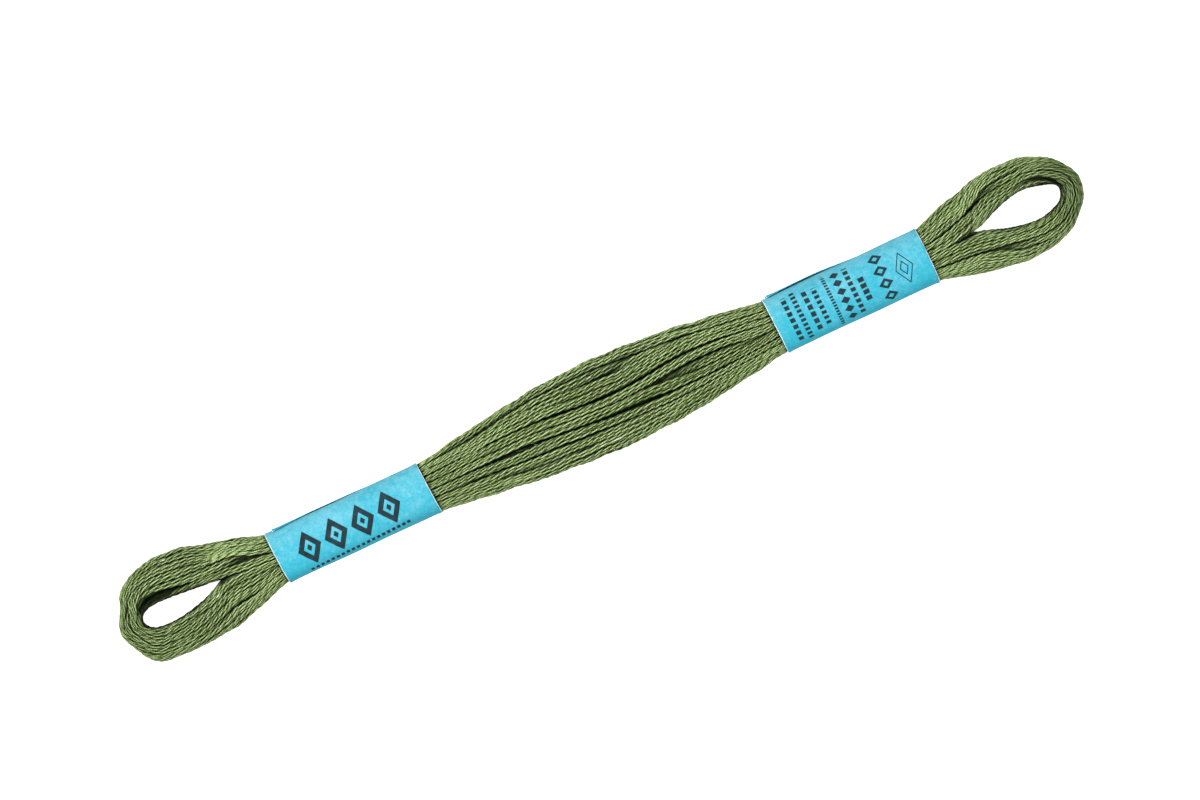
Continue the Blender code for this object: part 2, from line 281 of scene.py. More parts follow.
class Pile:
    """Round things packed side by side in the planes across the hank.

    spots holds, for each thing and each plane that it passes, its distance out from the leg's inner side and
    its height. The two legs share their planes where they lie side by side, so such a plane holds each thing
    twice. sections are these shared planes and the planes across the loops.
    """

    def __init__(self, spots, groups, rows, lower_at, upper_at):
        self.spots, self.rows, self.lower_at, self.upper_at = spots, rows, lower_at, upper_at
        self.loop_at = np.setdiff1d(np.arange(len(rows)), np.concatenate([lower_at, upper_at]))
        self.width, self.way = across_leg(rows)
        self.height = rows[:, 4]
        self.size = np.stack([self.width, self.height], axis=1)
        low, high, leg_line = rows[lower_at, 1], rows[upper_at, 1], rows[lower_at, 3]
        half_height = (self.height[lower_at] + self.height[upper_at]) / 4
        shared_middle = np.stack([(low + high) / 2 - leg_line, half_height - FLAT_DEPTH], axis=1)
        shared_half = np.stack([(high - low) / 2, half_height], axis=1)
        shared_way = np.tile((0.0, 1.0), (len(lower_at), 1))
        shared_seams = seams_across(rows[lower_at][:, [0, 3]], shared_way, np.inf)
        inner, way, width = rows[:, 2:4], self.way, self.width[:, None]
        loop_seams = seams_across(*(values[self.loop_at] for values in (inner, way, width)))
        loop_half = self.size[self.loop_at] / 2
        both = np.concatenate([groups, groups + groups.max() + 1])
        self.sections = (
            Section(lower_at, shared_middle, shared_half, shared_seams, both),
            Section(self.loop_at, loop_half - (0, FLAT_DEPTH), loop_half, loop_seams, groups),
        )

    def gather(self):
        """The things in each plane: those of both legs in the shared planes, and those of each loop plane."""
        lower = self.spots[:, self.lower_at].transpose(1, 0, 2) * (-1, 1)
        upper = self.spots[:, self.upper_at].transpose(1, 0, 2)
        return [np.concatenate([lower, upper], axis=1), self.spots[:, self.loop_at].transpose(1, 0, 2).copy()]

    def by_thing(self, shared, looped, mirror):
        """From values in each plane, ordered as gather gives them, to values for each thing in each plane."""
        count = len(self.spots)
        values = np.empty((count, len(self.rows), looped.shape[2]))
        values[:, self.lower_at] = (shared[:, :count] * mirror).transpose(1, 0, 2)
        values[:, self.upper_at] = shared[:, count:].transpose(1, 0, 2)
        values[:, self.loop_at] = looped.transpose(1, 0, 2)
        return values


def nearest(points, count):
    """For each thing in each plane, the places of its nearest neighbours."""
    found = []
    for plane in points.astype(np.float32):
        apart = ((plane[:, None] - plane[None]) ** 2).sum(axis=2)
        np.fill_diagonal(apart, np.inf)
        found.append(np.argpartition(apart, count, axis=1)[:, :count])
    return np.stack(found)


def push_apart(points, near, radius, groups, extra):
    """Moves each thing half of what it overlaps each neighbour, and extra more for one of another group."""
    planes = np.arange(len(points))[:, None, None]
    away = points[:, :, None] - points[planes, near]
    distance = np.linalg.norm(away, axis=3) + 1e-6
    reach = 2 * radius[:, None, None] * (1 + extra[:, None, None] * (groups[:, None] != groups[near]))
    overlap = np.clip(reach - distance, 0, None)
    return points + 0.5 * (away / distance[..., None] * (0.5 * overlap)[..., None]).sum(axis=2)


def swollen(points, middle, outward):
    """Each thing moved this far out from the middle of its section, so that the outer ones lie close."""
    away = points - middle[:, None]
    distance = np.linalg.norm(away, axis=2, keepdims=True)
    return points + away / np.maximum(distance, 0.5) * outward


def part_at_seams(points, section, radius, sides):
    """Pushes each thing to its own side of each seam: fully at the top of the section, and less below."""
    for number, seam in enumerate(SEAMS):
        crossed = section.seams[:, number, 1] > 0
        place, openness = section.seams[crossed, number, :1], section.seams[crossed, number, 1:]
        centre, reach, size = section.middle[crossed], section.half[crossed], radius[crossed, None]
        flat = np.abs((place - centre[:, :1]) / reach[:, :1]) ** SECTION_POWER
        level = np.clip(1 - flat, 0, 1) ** (1 / SECTION_POWER)
        top = centre[:, 1:] + reach[:, 1:] * level - size
        share = smooth((points[crossed, :, 1] - top + SEAM_DEPTH) / SEAM_FLOOR)
        side = sides[None, :, number]
        lacking = openness * (size + seam.half_width) - side * (points[crossed, :, 0] - place)
        points[crossed, :, 0] += SEAM_PUSH * openness * side * share * np.clip(lacking, 0, MOST_PUSH)
        if seam.drop:
            aside = points[crossed, :, 0] - place
            lowered = seam.drop * smooth((aside + LEDGE + LEDGE_EDGE) / LEDGE_EDGE)
            too_high = points[crossed, :, 1] - top + lowered
            points[crossed, :, 1] -= LEDGE_PUSH * (aside < 0) * np.clip(too_high, 0, MOST_PUSH)
    return points


def keep_inside(points, section, radius):
    """Brings back what sticks out of the section, and lifts what is below the surface it rests on."""
    room = section.half[:, None] - radius[:, None, None]
    from_middle = points - section.middle[:, None]
    reach = (np.abs(from_middle / room) ** SECTION_POWER).sum(axis=2) ** (1 / SECTION_POWER)
    points = section.middle[:, None] + from_middle / np.maximum(reach, 1.0)[..., None]
    points[..., 1] = np.maximum(points[..., 1], radius[:, None])
    return points


def smoothed(spots, share):
    """Each line pulled towards the middle of its neighbours, one turn running on into the next."""
    chains = spots.reshape(-1, TURNS * spots.shape[1], 2)
    before = np.concatenate([chains[:, :1], chains[:, :-1]], axis=1)
    after = np.concatenate([chains[:, 1:], chains[:, -1:]], axis=1)
    return ((1 - share) * chains + share * (before + after) / 2).reshape(spots.shape)


def seam_sides(points, seams):
    """The side of each seam that each thing lies on, in most of the planes that the seam crosses."""
    sides = np.ones((points.shape[1], seams.shape[1]))
    for number in range(seams.shape[1]):
        crossed = seams[:, number, 1] > 0
        if crossed.any():
            aside = points[crossed, :, 0] - seams[crossed, number, :1]
            sides[:, number] = np.where(aside.mean(axis=0) < 0, -1, 1)
    return sides


def agree_on_sides(pile, shared_sides, loop_sides):
    """Where a seam runs from a loop on to a leg, each thing keeps the side that it has on the loop."""
    turns = len(pile.spots)
    shared, looped = pile.sections
    for number in range(len(SEAMS)):
        on_leg = shared.seams[:, number, 1] > 0
        if on_leg.any() and (looped.seams[:, number, 1] > 0).any():
            if shared.seams[on_leg, number, 0].mean() < 0:
                shared_sides[:turns, number], shared_sides[turns:, number] = -loop_sides[:, number], 1
            else:
                shared_sides[:turns, number], shared_sides[turns:, number] = -1, loop_sides[:, number]


def settle(pile, radius, sides, steps, stiffness, neighbours, swell, extra=None, targets=None, pull=0.0):
    """Packs the pile: things push apart, stay inside, and each stays a smooth line along its length."""
    extra = np.zeros(len(radius)) if extra is None else extra
    for step in range(steps):
        if targets is not None:
            pile.spots += pull * (targets - pile.spots)
        parts = pile.gather()
        if step % NEIGHBOUR_STEPS == 0:
            near = [nearest(points, neighbours) for points in parts]
        outward = swell * (1 - 0.9 * step / steps)
        for number, section in enumerate(pile.sections):
            room, gap = radius[section.planes], extra[section.planes]
            points = push_apart(parts[number], near[number], room, section.groups, gap)
            points = part_at_seams(swollen(points, section.middle, outward), section, room, sides[number])
            parts[number] = keep_inside(points, section, room)
        share = stiffness * (1 - 0.7 * step / steps)
        pile.spots = smoothed(pile.by_thing(*parts, (-1, 1)) / pile.size, share) * pile.size


def wandering(random, count, travel, waves, size):
    """Smooth random lines, one for each thing: count x places x 2."""
    total = np.zeros((count, len(travel), 2))
    for wave in waves:
        phase = random.uniform(0, 2 * pi, (count, 1, 2))
        strength = random.uniform(0.4, 1.0, (count, 1, 2))
        total += strength * np.sin(2 * pi * wave * travel[None, :, None] + phase)
    return size * total / len(waves)


def clear_of_bands(x):
    """0 under the bands, and 1 well away from them."""
    clear = np.minimum.reduce([np.maximum(band.start - x, x - band.end) for band in BANDS])
    return smooth(clear / BAND_EASE)


def packed_radius(pile, fill):
    """The radius of things that fill this share of the section, in each plane."""
    area = pi * pile.width * pile.height / 4
    half = pile.sections[0].half
    area[pile.lower_at] = area[pile.upper_at] = pi * half[:, 0] * half[:, 1] / 2
    return np.sqrt(fill * area / len(pile.spots) / pi)


def first_places(random, rows, travel):
    """Where the turns lie before they are packed: up and down the columns, and wandering along the hank."""
    column, level = np.divmod(np.arange(TURNS), LEVELS)
    level = np.where(column % 2, LEVELS - 1 - level, level)
    share = np.stack([(column + 0.5) / COLUMNS, (level + 0.5) / LEVELS], axis=1)
    share += random.uniform(-0.04, 0.04, share.shape)
    following = np.concatenate([share[1:], share[-1:]])
    change = smooth((travel - CHANGE_START) / CHANGE_LENGTH)[None, :, None]
    share = share[:, None] * (1 - change) + following[:, None] * change
    share = share + wandering(random, TURNS, travel, waves=(1.5, 2.5, 4.5), size=0.22)
    width, way = across_leg(rows)
    size = np.stack([width, rows[:, 4]], axis=1)
    ripple = wandering(random, 1, travel, waves=(29, 47, 71), size=RIPPLE)[0, :, :1]
    rows[:, 0:2] += way * ripple * clear_of_bands(rows[:, 0])[:, None]
    return share * size


def strand_targets(random, flosses, floss_radius, travel):
    """Where the six strands of each floss would lie: one in its middle and five that wind round it."""
    strand = np.arange(STRANDS)[:, None, None]
    twist = 2 * pi * FLOSS_TWISTS * travel[None, None] + random.uniform(0, 2 * pi, (1, TURNS, 1))
    twist = twist + strand * 2 * pi / (STRANDS - 1)
    twist = twist + 0.4 * np.sin(2 * pi * 5 * travel + random.uniform(0, 2 * pi, (STRANDS, TURNS, 1)))
    spread = STRAND_SPREAD * floss_radius * (strand > 0)
    offset = np.stack([np.cos(twist) * spread, np.sin(twist) * spread], axis=3)
    targets = (flosses.spots[None] + offset).reshape(STRANDS * TURNS, len(travel), 2)
    return targets + wandering(random, STRANDS * TURNS, travel, waves=(23, 41, 67, 90), size=0.32)


def lay_floss():
    """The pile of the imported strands, and the strands' radius in each plane."""
    random = np.random.default_rng(LAY_SEED)
    rows, lower_at, upper_at = hank_planes()
    travel = np.arange(len(rows)) / len(rows)
    turns = np.arange(TURNS)
    places = first_places(random, rows, travel)
    flosses = Pile(places, turns, rows, lower_at, upper_at)
    floss_radius = np.minimum(FLOSS_RADIUS, packed_radius(flosses, FLOSS_FILL))
    sides = [seam_sides(points, section.seams) for points, section in zip(flosses.gather(), flosses.sections)]
    agree_on_sides(flosses, *sides)
    settle(flosses, floss_radius, sides, steps=200, stiffness=0.7, neighbours=8, swell=0.03)

    targets = strand_targets(random, flosses, floss_radius, travel)
    floss_of = np.tile(turns, STRANDS)
    strands = Pile(targets.copy(), floss_of, rows, lower_at, upper_at)
    radius = np.minimum(STRAND_RADIUS, packed_radius(strands, STRAND_FILL))
    strand_sides = sides[0][np.concatenate([floss_of, floss_of + TURNS])], sides[1][floss_of]
    gaps = FLOSS_GAP + TIGHT_GAP * smooth((TIGHT_RADIUS - radius) / TIGHT_RANGE)
    ways = {"steps": 120, "stiffness": 0.35, "neighbours": 12, "swell": 0.020}
    settle(strands, radius, strand_sides, **ways, extra=gaps, targets=targets, pull=0.035)
    return strands, radius


# ---- How deep the strands lie, and the shade painted from it ----

BAND_DEPTH, LEAST_BAND_DEPTH = 9.0, 6.0  # the depth given to strands under a band, and less than any other's
BAND_MARGIN = 1.5  # how far in from a band's ends its strands count as under it
SHOWN_DEPTH, SHOWN_RANGE = 0.9, 0.25  # how deep in the hank a strand still shows in full, and how it fades
SUNK_NEIGHBOURS, SUNK_MOST = 11, 3  # to compare a strand's depth with, and the most that it lies below them
NORMAL_POWER = 1.2  # of the way out of the section, one less than its own
EYE_START = 67.0  # distance along X past which the eyes are open
TIP_START = 78.0  # X of the right loop's tip
EYE_WALL, EYE_RIM, RIGHT_TIP, LEFT_SIDE = 0.60, 0.36, 0.26, 0.18  # painted shade added there, as extra depth


def seen_from_above(points, radius):
    """Whether nothing lies over each thing in each plane."""
    seen = []
    for plane, size in zip(points, radius):
        beside = np.abs(plane[:, None, 0] - plane[None, :, 0]) < 0.9 * size
        seen.append(~(beside & (plane[None, :, 1] > plane[:, None, 1] + 0.6 * size)).any(axis=1))
    return np.array(seen)


def painted_loop_shade(pile, looped):
    """Painted shade for each strand of the loops, as extra depth: in the eyes, at the right and the left."""
    rows = pile.rows[pile.loop_at]
    out = looped[..., 0] / pile.width[pile.loop_at, None]
    up = looped[..., 1] / pile.height[pile.loop_at, None]
    in_eye = smooth((np.abs(rows[:, 2]) - EYE_START) / 3)[:, None]
    wall = smooth((0.34 - out) / 0.25) * smooth((0.76 - up) / 0.22)
    rim = smooth((0.13 - out) / 0.10)
    right_tip = smooth((rows[:, 0] - TIP_START) / 4)[:, None]
    left_side = smooth((LEGS_PART[0] - rows[:, 0]) / 4)[:, None]
    return in_eye * (EYE_WALL * wall + EYE_RIM * rim) + RIGHT_TIP * right_tip + LEFT_SIDE * left_side


def depth_in_hank(pile, radius):
    """Each strand's depth in each plane, how far it lies below those beside it plus the loops' painted shade,
    and the way out of the hank.

    The way out has a share along the leg's own width and a share up.
    """
    found = []
    parts = pile.gather()
    for points, section in zip(parts, pile.sections):
        from_middle = points - section.middle[:, None]
        shares = np.abs(from_middle / section.half[:, None])
        reach = (shares**SECTION_POWER).sum(axis=2) ** (1 / SECTION_POWER)
        depth = np.linalg.norm(from_middle, axis=2) * (1 / np.maximum(reach, 1e-3) - 1)
        beside = depth[np.arange(len(points))[:, None, None], nearest(points, SUNK_NEIGHBOURS)]
        sunk = np.clip(depth - beside.min(axis=2), 0, SUNK_MOST)
        slope = np.sign(from_middle) * shares**NORMAL_POWER / section.half[:, None]
        slope /= np.linalg.norm(slope, axis=2, keepdims=True) + 1e-9
        slope[..., 1] += 1.2 * smooth(depth) * (slope[..., 1] > -0.2)
        slope /= np.linalg.norm(slope, axis=2, keepdims=True) + 1e-9
        seen = seen_from_above(points, radius[section.planes])
        depth = np.where(seen, np.minimum(depth, 0.5 * SHOWN_DEPTH), depth)
        found.append(np.concatenate([depth[..., None], sunk[..., None], slope], axis=2))
    found[1][..., 1] += painted_loop_shade(pile, parts[1])
    whole = pile.by_thing(*found, (1, 1, -1, 1))
    x = pile.rows[:, 0]
    for band in BANDS:
        whole[:, (x > band.start + BAND_MARGIN) & (x < band.end - BAND_MARGIN), 0] = BAND_DEPTH
    return whole


# The imported strands, each array strands x turns x planes: the strand's place, its depth in the hank, how far
# it lies below its neighbours plus the loops' painted shade, and the way out of the hank.
Laid = namedtuple("Laid", "path depth sunk outward")


def laid_strands():
    """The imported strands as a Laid, and their radius in each plane."""
    pile, radius = lay_floss()
    shape = (STRANDS, TURNS, len(pile.rows))
    found = depth_in_hank(pile, radius).reshape(*shape, 4)
    spots = pile.spots.reshape(*shape, 2)
    plan = pile.rows[:, 2:4] + spots[..., :1] * pile.way
    return Laid(
        path=np.concatenate([plan, spots[..., 1:]], axis=3),
        depth=found[..., 0],
        sunk=found[..., 1],
        outward=np.concatenate([found[..., 2:3] * pile.way, found[..., 3:]], axis=3),
    ), radius


# ---- The strands as tubes ----

# The radius of a strand's section, going round: a groove between the plies, then a ply's back, twice.
SECTION = np.array([0.54, 0.76, 1.12, 0.76, 0.54, 0.76, 1.12, 0.76])
# How far up a ply's back each point lies; the material paints the backs lighter and the grooves darker.
CREST = np.array([0.0, 0.72, 1.0, 0.72, 0.0, 0.72, 1.0, 0.72])
SIDES = len(SECTION)
PLY_LAY = 3.0  # length of strand in which its two plies wind once round
TWIST_DRIFT, TWIST_DRIFT_LENGTH = 0.9, 17.0  # the plies' twist comes and goes, in radians over this length
FINE_RING, COARSE_RING = 0.38, 3.0  # between rings where a strand shows and where it is hidden
SLACK = 0.86  # a strand's radius, as a share of the room that it takes
FILLED_OUT = 0.32  # how much thicker the strands within the hank are, so that no light comes through
# Painted shade on a strand: how fast it darkens down its sides, from where and at most; the same for how far
# it lies below its neighbours; and the painted shadow where it goes in under a band: how dark, over this
# length.
SIDE_SHADE, SIDE_START, SIDE_MOST = 1.4, 0.69, 0.92
DEEP_SHADE, DEEP_START, DEEP_MOST = 1.22, 0.14, 0.96
BAND_SHADE, BAND_SHADE_LENGTH = 0.8, 0.55

# A tube's points, its UV, how far each point is up a ply's back, its painted shade, and the strand's lightness
Tube = namedtuple("Tube", "points uv crest shade tone")


def cubic(values, at):
    """Values read between their places by a smooth cubic."""
    here = np.clip(np.floor(at).astype(int), 0, len(values) - 2)
    t = (at - here)[:, None]
    before, after = np.maximum(here - 1, 0), np.minimum(here + 2, len(values) - 1)
    a, b, c, d = values[before], values[here], values[here + 1], values[after]
    return b + 0.5 * t * (c - a + t * (2 * a - 5 * b + 4 * c - d + t * (3 * (b - c) + d - a)))


def at_band(points):
    """1 where floss goes in under a band, and 0 from a little way off: the mask of the band's painted shadow.
    """
    near = 0
    for sheet in SHEETS:
        before = sheet.start - sheet.start_lean * points[..., 1] - points[..., 0]
        after = points[..., 0] - sheet.end + sheet.end_lean * points[..., 1]
        near = np.maximum(near, smooth(1 - np.maximum(before, after) / BAND_SHADE_LENGTH))
    return near


def ring_places(run):
    """Where along a strand's planes its rings lie: close together where it shows, and far apart elsewhere."""
    step = np.linalg.norm(np.diff(run.path, axis=0), axis=1)
    shown = smooth((SHOWN_DEPTH + SHOWN_RANGE - run.depth) / SHOWN_RANGE)
    wanted = COARSE_RING + (FINE_RING - COARSE_RING) * (shown > 0)
    density = 1 / ((wanted[1:] + wanted[:-1]) / 2)
    rings_to = np.concatenate([[0], np.cumsum(step * density)])
    count = int(np.ceil(rings_to[-1]))
    places = np.arange(len(run.path))
    at = np.interp(np.linspace(0, rings_to[-1], count + 1), rings_to, places)
    return at, np.interp(at, places, shown)


def closed_rings(centre, side, top, angle, reach):
    """Rings of points round these centres, with both ends drawn shut, and the way out to each point."""
    ring = np.cos(angle)[..., None] * side[:, None] + np.sin(angle)[..., None] * top[:, None]
    ring = reach[..., None] * ring
    points = centre[:, None] + ring
    points[0], points[-1] = centre[0], centre[-1]
    return points, ring


def strand_tube(run, radius, lay, phase, grip):
    """The tube along a strand's run, whose tone is still open, in the hank's frame.

    The plies wind once in each lay, from phase; grip is how deep the grooves between them are, up to 1.
    """
    places = np.arange(len(run.path))
    at, fine = ring_places(run)
    centre = cubic(run.path, at)
    thick, depth, sunk = (np.interp(at, places, values) for values in (radius, run.depth, run.sunk))
    along = unit(np.gradient(centre, axis=0))
    side = unit(np.cross(along, (0, 0, 1)))
    top = np.cross(side, along)
    length = np.concatenate([[0], np.cumsum(np.linalg.norm(np.diff(centre, axis=0), axis=1))])
    gaps = np.diff(length)
    turned = phase + np.concatenate([[0], np.cumsum(gaps * (gaps < 2 * FINE_RING))]) * 2 * pi / lay
    turned += TWIST_DRIFT * np.sin(2 * pi * length / TWIST_DRIFT_LENGTH + phase * 5)
    angle = 2 * pi * np.arange(SIDES + 1) / SIDES
    angle = angle[None] + turned[:, None]
    section = np.append(SECTION, SECTION[0])
    reach = thick[:, None] * (1 + (SLACK * (1 + grip * (section - 1)[None]) - 1) * fine[:, None])
    reach = reach * (1 + FILLED_OUT * ((1 - fine) * (depth < LEAST_BAND_DEPTH))[:, None])
    points, ring = closed_rings(centre, side, top, angle, reach)
    outward = np.stack([np.interp(at, places, part) for part in run.outward.T], axis=1)
    risen = (ring * outward[:, None]).sum(axis=2)
    # Painted highlight and shade in the colour: the grooves between the plies darker, more so on the sides.
    beside = 0.72 + 0.28 * smooth((1.0 - risen / reach) / 0.4)
    crest = 1 - (1 - np.append(CREST, CREST[0])[None]) * beside * fine[:, None]
    # Painted shade: down the sides facing into the hank, by how low it lies, and a painted shadow at a band's
    # edge.
    side_shade = np.clip(SIDE_SHADE * (SIDE_START - risen / thick[:, None]), 0, SIDE_MOST)
    deep_shade = np.clip(DEEP_SHADE * sunk * STRAND_RADIUS / thick - DEEP_START, 0, DEEP_MOST)
    shade = 1 - (1 - side_shade) * (1 - deep_shade[:, None]) * (1 - BAND_SHADE * at_band(points))
    uv = np.stack([np.broadcast_to(length[:, None], angle.shape), angle / (2 * pi)], axis=2)
    return Tube(points, uv, crest, shade, tone=None)


def thin_tube(path, radius, sides, tone):
    """A thin round tube along a path."""
    along = unit(np.gradient(path, axis=0))
    side = unit(np.cross(along, (0.3, 0.2, 0.93)))
    top = np.cross(side, along)
    angle = 2 * pi * np.arange(sides + 1)[None] / sides
    points, _ = closed_rings(path, side, top, angle, radius[:, None])
    return Tube(points, np.zeros((*points.shape[:2], 2)), 1.0, 0.0, tone)


def mesh_of_grids(name, grids, coordinates):
    """A mesh made of one grid for each array of points, in millimetres, with these UV coordinates."""
    shape = bmesh.new()
    shape.loops.layers.uv.new("UVMap")
    for points in grids:
        bmesh.ops.create_grid(shape, x_segments=points.shape[1] - 1, y_segments=len(points) - 1, size=1.0)
    mesh = bpy.data.meshes.new(name)
    shape.to_mesh(mesh)
    shape.free()
    places = np.concatenate([points.reshape(-1, 3) for points in grids]) * MM + SHIFT
    mesh.vertices.foreach_set("co", places.astype(np.float32).ravel())
    corner = np.empty(len(mesh.loops), np.int32)
    mesh.loops.foreach_get("vertex_index", corner)
    flat = np.concatenate([uv.reshape(-1, 2) for uv in coordinates])
    mesh.uv_layers[0].data.foreach_set("uv", flat[corner].astype(np.float32).ravel())
    return mesh


def put_in_scene(name, data):
    """A new object with this data, in the scene."""
    made = bpy.data.objects.new(name, data)
    bpy.context.scene.collection.objects.link(made)
    return made


def tube_piece(name, tubes, material):
    """One piece of many tubes: each starts as a grid, is wrapped round its path, and its seam is merged."""
    mesh = mesh_of_grids(name, [tube.points for tube in tubes], [tube.uv for tube in tubes])
    for layer_name in ("tone", "crest", "shade"):
        values = [np.broadcast_to(getattr(tube, layer_name), tube.points.shape[:2]).ravel() for tube in tubes]
        layer = mesh.attributes.new(layer_name, "FLOAT", "POINT")
        layer.data.foreach_set("value", np.concatenate(values).astype(np.float32))
    shape = bmesh.new()
    shape.from_mesh(mesh)
    bmesh.ops.remove_doubles(shape, verts=shape.verts, dist=1e-8)
    bmesh.ops.recalc_face_normals(shape, faces=shape.faces)
    shape.to_mesh(mesh)
    shape.free()
    mesh.materials.append(material)
    mesh.shade_smooth()
    piece = put_in_scene(name, mesh)
    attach(piece, "root")
    return piece


def run_on(values, strand, turn):
    """A strand's values in the planes of a turn, and in the first plane of the next turn if there is one."""
    here = values[strand, turn]
    return here if turn + 1 == TURNS else np.concatenate([here, values[strand, turn + 1, :1]])


def make_floss(laid, radius, material):
    """The floss's pieces, each with the strands of every eighth turn."""
    random = np.random.default_rng(TUBE_SEED)
    for first in range(PIECES):
        tubes = []
        for turn in range(first, TURNS, PIECES):
            for strand in range(STRANDS):
                run = Laid(*(run_on(values, strand, turn) for values in laid))
                lay = PLY_LAY * random.uniform(0.86, 1.2)
                phase, grip = random.uniform(0, 2 * pi), random.uniform(0.6, 1.1)
                room = np.append(radius, radius[0])[: len(run.path)]
                tube = strand_tube(run, room, lay, phase, grip)
                uv = tube.uv + (random.uniform(0, 50), 0)
                tubes.append(tube._replace(uv=uv, tone=random.uniform(0, 1)))
        piece = tube_piece(f"floss_turns_{first + 1}", tubes, material)
        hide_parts("skein")


# ---- Loose fibres and lint ----

FIBRES = 850
FIBRE_RADII = np.array([0.014, 0.013, 0.011, 0.009, 0.006])  # along a fibre
FIBRE_SIDES, LINT_SIDES = 3, 6
# From the least to the most: how far along its strand from the drawn place a fibre starts, how far it leans
# aside, how it lifts off the strand and sinks back, how it curls, and its length.
FIBRE_START, FIBRE_LEAN, FIBRE_LIFT = (-0.7, 0.7), (-0.5, 0.5), (0.35, 0.9)
FIBRE_SINK, FIBRE_CURL, FIBRE_LENGTH = (0.1, 0.6), (-0.4, 0.4), (0.6, 1.7)
# Bits of lint: X and Y, length and radius
LINT = (
    (0.2, 5.2, 0.9, 0.05), (0.3, -6.8, 1.9, 0.06), (-2.3, -6.8, 0.5, 0.05),
    (-73.6, 7.5, 0.6, 0.06), (-68.5, -1.2, 0.8, 0.07), (63.8, -0.4, 0.35, 0.06), (65.1, -0.3, 0.3, 0.05),
)


def stray_fibres(laid, radius):
    """Fine fibres that stand off the strands at the surface, rooted at random and bent over."""
    random = np.random.default_rng(FIBRE_SEED)
    loose = np.argwhere((laid.depth < 0.5) & (laid.sunk < 0.3))
    share = np.linspace(0, 1, len(FIBRE_RADII))[:, None]
    tubes = []
    for strand, turn, place in loose[random.choice(len(loose), FIBRES, replace=False)]:
        path = laid.path[strand, turn]
        along = unit(path[min(place + 1, len(path) - 1)] - path[max(place - 1, 0)])
        out = laid.outward[strand, turn, place]
        aside = np.cross(along, out)
        root = path[place] + random.uniform(*FIBRE_START) * along + 0.7 * radius[place] * out
        lean = random.choice((-1, 1)) * along + random.uniform(*FIBRE_LEAN) * aside
        bend = random.uniform(*FIBRE_LIFT) * share - random.uniform(*FIBRE_SINK) * share**2
        curl = random.uniform(*FIBRE_CURL) * share**2
        line = root + random.uniform(*FIBRE_LENGTH) * (share * lean + bend * out + curl * aside)
        line[:, 2] = np.maximum(line[:, 2], 0.02)
        tubes.append(thin_tube(line, FIBRE_RADII, FIBRE_SIDES, random.uniform(0, 1)))
    return tubes


def lint(laid):
    """A few pale bits of lint that lie on the floss, along its strands."""
    tubes = []
    points = laid.path.reshape(-1, 3)
    share = np.linspace(-0.5, 0.5, 7)[:, None]
    for x, y, length, radius in LINT:
        near = np.flatnonzero(np.hypot(points[:, 0] - x, points[:, 1] - y) < 0.9)
        best = near[np.argmax(points[near, 2])]
        along = unit(points[best + 1] - points[best - 1])
        centre = points[best] + (0, 0, 1.02 * STRAND_RADIUS)
        centre[:2] += np.dot((x, y) - centre[:2], along[:2]) * along[:2]
        line = centre + length * share * along + np.array((0, 0, 0.02)) * np.cos(9 * share)
        tubes.append(thin_tube(line, radius * (1 - (1.8 * share[:, 0]) ** 4 * 0.6), LINT_SIDES, tone=1.0))
    return tubes


# ---- Materials ----

MIX_A, MIX_B, MIX_RESULT = 6, 7, 2  # the Mix node's sockets when it mixes colours


def add_node(tree, kind, inputs=None, **settings):
    """A node of this kind. Each of its inputs takes a number, a colour or another node's output."""
    made = tree.nodes.new(kind)
    for name, value in settings.items():
        setattr(made, name, value)
    for name, value in (inputs or {}).items():
        if isinstance(value, bpy.types.NodeSocket):
            tree.links.new(value, made.inputs[name])
        else:
            made.inputs[name].default_value = value
    return made


def reckon(tree, operation, *values):
    """The result of a Math node on these numbers or outputs."""
    return add_node(tree, "ShaderNodeMath", dict(enumerate(values)), operation=operation).outputs[0]


def blank_material(name, **sockets):
    """A new material, with the Principled BSDF's sockets set by name. Gives it, its tree and its shader."""
    made = bpy.data.materials.new(name)
    made.use_nodes = True
    tree = made.node_tree
    shader = tree.nodes["Principled BSDF"]
    for socket, value in sockets.items():
        shader.inputs[socket.replace("_", " ")].default_value = value
    return made, tree, shader


def colour_ramp(tree, share, stops):
    """A Color Ramp read at share, with (position, colour) stops."""
    ramp = add_node(tree, "ShaderNodeValToRGB", {"Fac": share})
    elements = ramp.color_ramp.elements
    while len(elements) < len(stops):
        elements.new(0.5)
    for element, (position, colour) in zip(elements, stops):
        element.position = position
        element.color = (*colour, 1.0)
    return ramp.outputs["Color"]


def mixed(tree, share, first, second):
    """A colour output mixed with a fixed colour."""
    inputs = {"Factor": share, MIX_A: first, MIX_B: (*second, 1.0)}
    mix = add_node(tree, "ShaderNodeMix", inputs, data_type="RGBA", clamp_factor=True)
    return mix.outputs[MIX_RESULT]


def noise(tree, place, scale, detail, roughness=0.5):
    """A Noise Texture's value at this place."""
    inputs = {"Vector": place, "Scale": scale, "Detail": detail, "Roughness": roughness}
    return add_node(tree, "ShaderNodeTexNoise", inputs).outputs["Fac"]


def attribute(tree, name):
    """The value of the piece's own attribute of this name."""
    return add_node(tree, "ShaderNodeAttribute", attribute_name=name).outputs["Fac"]


def uv_of(tree):
    """The two coordinates of the piece's UV map."""
    layer = add_node(tree, "ShaderNodeUVMap", uv_map="UVMap")
    parts = add_node(tree, "ShaderNodeSeparateXYZ", {"Vector": layer.outputs["UV"]})
    return parts.outputs["X"], parts.outputs["Y"]


def place_of(tree, x, x_scale, y, y_scale):
    """A place for a texture, with these two values times their scales."""
    parts = {"X": reckon(tree, "MULTIPLY", x, x_scale), "Y": reckon(tree, "MULTIPLY", y, y_scale)}
    return add_node(tree, "ShaderNodeCombineXYZ", parts).outputs[0]


